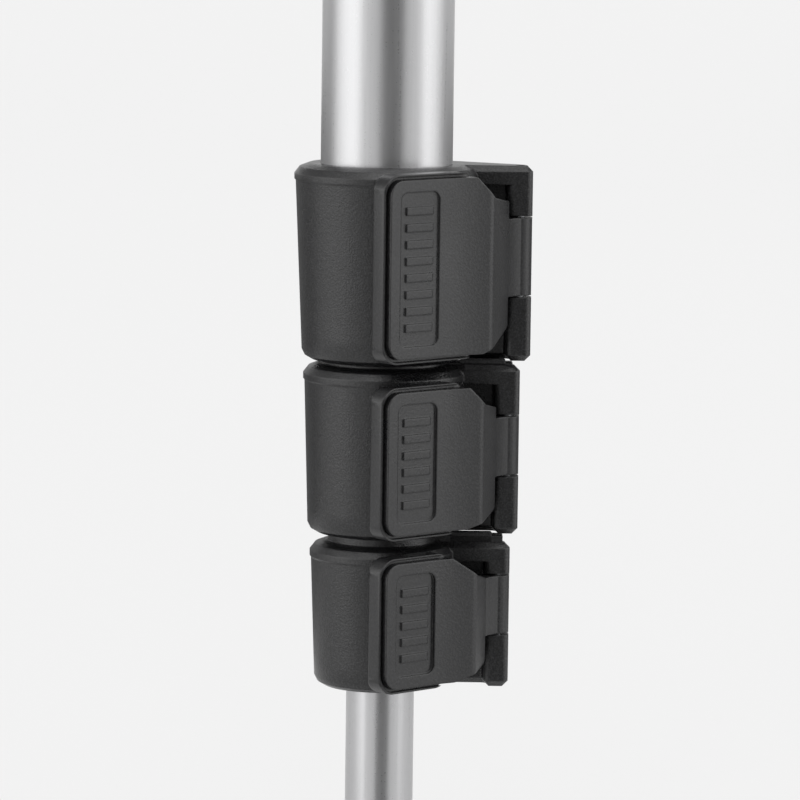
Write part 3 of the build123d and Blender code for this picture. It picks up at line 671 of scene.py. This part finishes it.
plateRidges = {
    "length": 24.0,
    "width": 1.3,
    "height": 0.7,
    "edge": 0.3,
    "count": 5,
    "pitch": 2.5,
    "from": 7.0,
    "sunk": 0.05,
}
plateLow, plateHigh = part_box("quick_plate")
for side, sign in (("Front", -1), ("Rear", 1)):
    strip = bar(*(plateRidges[size] for size in ("length", "width", "height", "edge")))
    mesh = repeated(
        "plateRidges" + side,
        strip,
        finishes["rubber"],
        plateRidges["count"],
        pitch=(0, sign * plateRidges["pitch"] * mm, 0),
    )
    middle = (plateLow.y + plateHigh.y) / 2 + sign * plateRidges["from"] * mm
    bottom = plateHigh.z - plateRidges["sunk"] * mm
    place = Matrix.Translation(((plateLow.x + plateHigh.x) / 2, middle, bottom))
    newPiece("plateRidges" + side, mesh, place, "quick_plate")

# The pan scale: ticks and plain numbers round the base's rim, and a mark on the disc above

panScale = {
    "radius": 24.0,
    "proud": 0.06,
    "sunk": 0.2,
    "foot": -14.3,
    "top": 12.6,
    "tick": 1.6,
    "longTick": 2.6,
    "width": 0.3,
    "figure": 2.8,
    "figureProud": 0.08,
    "figureDrop": 0.9,
}
panPlace = axisPlace("pan_turn", panScale["foot"] * mm)


def tickMesh(length):
    # a thin flat mark on the rim, hanging down from the scale's top line
    half, out = panScale["width"] / 2 * mm, (panScale["radius"] + panScale["proud"]) * mm
    inside, top = (panScale["radius"] - panScale["sunk"]) * mm, panScale["top"] * mm
    shape = bmesh.new()
    bmesh.ops.create_cube(shape, size=1.0)
    bmesh.ops.scale(shape, vec=(out - inside, 2 * half, length * mm), verts=shape.verts)
    bmesh.ops.translate(shape, vec=((out + inside) / 2, 0, top - length * mm / 2), verts=shape.verts)
    mesh = bpy.data.meshes.new("tick")
    shape.to_mesh(mesh)
    shape.free()
    return mesh


for name, length, step in (("scaleTicks", panScale["tick"], 5), ("scaleLongTicks", panScale["longTick"], 30)):
    mesh = repeated(name, tickMesh(length), finishes["ink"], 360 // step, turn=radians(step))
    newPiece(name, mesh, panPlace, "column")
for degrees in range(0, 360, 30):
    text = bpy.data.curves.new(f"scaleFigure{degrees}", "FONT")
    text.body = str(degrees)
    text.size = panScale["figure"] * mm
    text.align_x = "CENTER"
    text.extrude = panScale["figureProud"] * mm
    holder = bpy.data.objects.new(text.name, text)
    bpy.context.scene.collection.objects.link(holder)
    bpy.context.view_layer.update()
    mesh = bpy.data.meshes.new_from_object(holder.evaluated_get(bpy.context.evaluated_depsgraph_get()))
    mesh.name = text.name
    bpy.data.objects.remove(holder)
    base = (panScale["top"] - panScale["longTick"] - panScale["figureDrop"] * panScale["figure"]) * mm
    for vertex in mesh.vertices:
        x, y, z = vertex.co
        angle = radians(degrees) + x / (panScale["radius"] * mm)
        r = panScale["radius"] * mm + z
        vertex.co = (r * cos(angle), r * sin(angle), base + y)
    newPiece(mesh.name, mesh, panPlace, "column", finishes["ink"])
scaleMark = {"width": 0.5, "height": 3.0, "edge": 0.1, "sunk": 0.15, "from": 15.2}
mark = bar(scaleMark["width"], scaleMark["width"], scaleMark["height"], scaleMark["edge"])
markRadius = panScale["radius"] - scaleMark["sunk"]
mark.transform(Matrix.Translation((markRadius * mm, 0, scaleMark["from"] * mm)))
newPiece("scaleMark", mark, panPlace @ Matrix.Rotation(radians(-90), 4, "Z"), "pan", finishes["ink"])

# Caps let into the two knobs' ends

knobCaps = {
    "column_lock_knob": {"joint": "column_lock_knob_turn", "end": 47.0, "radius": 7.0},
    "pan_lock_knob": {"joint": "pan_lock_knob_turn", "end": 40.0, "radius": 4.8},
}
capShape = {"middle": 0.01, "top": 0.35, "bottom": -0.4, "rim": 0.1, "edge": 0.5, "sides": 48}
for name, cap in knobCaps.items():
    outline = [
        (capShape["middle"], capShape["top"]),
        (capShape["middle"], capShape["bottom"]),
        (cap["radius"], capShape["bottom"]),
        (cap["radius"], capShape["rim"]),
        (cap["radius"] - capShape["edge"], capShape["top"]),
    ]
    mesh = turnedMesh(name + "_cap", [[(r * mm, z * mm) for r, z in outline]], capShape["sides"])
    newPiece(name + "_cap", mesh, axisPlace(cap["joint"], cap["end"] * mm), name, finishes["steel"])
print("detail pieces made")


# Camera, at the photograph's angle: about seven degrees above square to the leg

view = {
    "distance": 0.939,
    "lens": 222.0,
    "sensor": 36.0,
    "clip": (0.01, 60.0),
    "tilt": 29.9,
    "roll": 0.75,
    "down": 0.4221,
    "across": 0.0031,
}
target = legPlace("a") @ Vector((view["across"], 0, -view["down"]))
sight = Vector((0, cos(radians(view["tilt"])), -sin(radians(view["tilt"]))))
camera = bpy.data.objects.new("camera", bpy.data.cameras.new("camera"))
camera.data.lens = view["lens"]
camera.data.sensor_width = view["sensor"]
camera.data.clip_start, camera.data.clip_end = view["clip"]
turn = sight.to_track_quat("-Z", "Y").to_matrix().to_4x4()
roll = Matrix.Rotation(radians(view["roll"]), 4, "Z")
camera.matrix_world = Matrix.Translation(target - sight * view["distance"]) @ turn @ roll
bpy.context.scene.collection.objects.link(camera)
bpy.context.scene.camera = camera
bpy.context.scene.view_settings.view_transform = "Standard"


# Studio: a pale background, soft boxes at the sides, grey cards that only reflections see. The floor is
# all but clear to the camera, so that it takes a faint shadow and a leg drawn out below it still shows

studio = {"background": "F4F4F4", "fill": 0.42, "floorShadow": 0.12, "floorSize": 40, "floorSunk": 0.2 * mm}
greyCards = {
    "front": {"to": (0.22, -1.58, 1.2), "size": (1.1, 3.0), "level": 0.19},
    "back": {"to": (-0.22, 1.58, 1.2), "size": (5.0, 3.0), "level": 0.34},
    "low": {"to": (0.0, -0.01, 0.001), "size": (1.4, 0.26), "level": 0.22},
}


def stagePlane(name, size, place, material):
    mesh = bpy.data.meshes.new(name)
    x, y = size[0] / 2, size[1] / 2
    mesh.from_pydata([(-x, -y, 0), (x, -y, 0), (x, y, 0), (-x, y, 0)], [], [(0, 1, 2, 3)])
    mesh.materials.append(material)
    plane = bpy.data.objects.new(name, mesh)
    plane.matrix_world = place
    bpy.context.scene.collection.objects.link(plane)
    return plane


world = bpy.data.worlds.new("studio")
bpy.context.scene.world = world
world.use_nodes = True
tree = world.node_tree
tree.nodes.clear()
rays = addNode(tree, "ShaderNodeLightPath")
seen = addNode(
    tree,
    "ShaderNodeMath",
    {0: rays.outputs["Is Camera Ray"], 1: rays.outputs["Is Glossy Ray"]},
    operation="ADD",
)
seen = addNode(
    tree,
    "ShaderNodeMath",
    {0: seen.outputs["Value"], 1: rays.outputs["Is Transmission Ray"]},
    operation="ADD",
    use_clamp=True,
)
pale = addNode(tree, "ShaderNodeBackground", {"Color": colour(studio["background"]), "Strength": 1.0})
fill = addNode(tree, "ShaderNodeBackground", {"Color": colour("FFFFFF"), "Strength": studio["fill"]})
mixed = addNode(
    tree, "ShaderNodeMixShader", {0: seen.outputs["Value"], 1: fill.outputs[0], 2: pale.outputs[0]}
)
tree.links.new(mixed.outputs[0], addNode(tree, "ShaderNodeOutputWorld").inputs["Surface"])

floorPaint, tree, shader = newMaterial("palePaint")
rays = addNode(tree, "ShaderNodeLightPath")
shader.inputs["Base Color"].default_value = colour(studio["background"])
shader.inputs["Roughness"].default_value = 0.9
shader.inputs["Specular IOR Level"].default_value = 0.0
clear = addNode(tree, "ShaderNodeBsdfTransparent")
share = addNode(
    tree,
    "ShaderNodeMath",
    {0: rays.outputs["Is Camera Ray"], 1: 1 - studio["floorShadow"]},
    operation="MULTIPLY",
)
mixed = addNode(
    tree, "ShaderNodeMixShader", {0: share.outputs["Value"], 1: shader.outputs[0], 2: clear.outputs[0]}
)
tree.links.new(mixed.outputs[0], tree.nodes["Material Output"].inputs["Surface"])
floorPlace = Matrix.Translation((0, 0, -studio["floorSunk"]))
floor = stagePlane("floor", (studio["floorSize"], studio["floorSize"]), floorPlace, floorPaint)
floor.visible_shadow = False

for name, look in greyCards.items():
    cardPaint, tree, shader = newMaterial(name + "Grey")
    glow = addNode(tree, "ShaderNodeEmission", {"Color": colour("FFFFFF"), "Strength": look["level"]})
    tree.links.new(glow.outputs[0], tree.nodes["Material Output"].inputs["Surface"])
    middle = Vector(look["to"])
    upright = Vector((middle.x, middle.y, 0)) if middle.z > 0.01 else Vector((0, 0, -1))
    place = Matrix.Translation(middle) @ (-upright).to_track_quat("Z", "Y").to_matrix().to_4x4()
    card = stagePlane(name + "Card", look["size"], place, cardPaint)
    card.visible_camera = card.visible_diffuse = card.visible_shadow = card.visible_transmission = False

softBoxes = {
    "left": {"from": (-1.35, -0.5, 0.65), "size": (1.5, 2.0), "watts": 9.5},
    "right": {"from": (1.38, -0.15, 0.65), "size": (1.5, 2.0), "watts": 9.5},
    "top": {"from": (0.1, -0.2, 2.2), "size": (1.6, 1.6), "watts": 12},
    "back": {"from": (0.0, 1.6, 1.2), "size": (1.2, 1.2), "watts": 8},
}
lampAim = Vector((0, -0.15, 0.25))
for name, box in softBoxes.items():
    lamp = bpy.data.lights.new(name + "SoftBox", "AREA")
    lamp.shape = "RECTANGLE"
    lamp.size, lamp.size_y = box["size"]
    lamp.energy = box["watts"]
    holder = bpy.data.objects.new(name + "SoftBox", lamp)
    start = Vector(box["from"])
    aim = (lampAim - start).to_track_quat("-Z", "Y").to_matrix().to_4x4()
    holder.matrix_world = Matrix.Translation(start) @ aim
    holder.visible_camera = False
    bpy.context.scene.collection.objects.link(holder)
print("studio set")
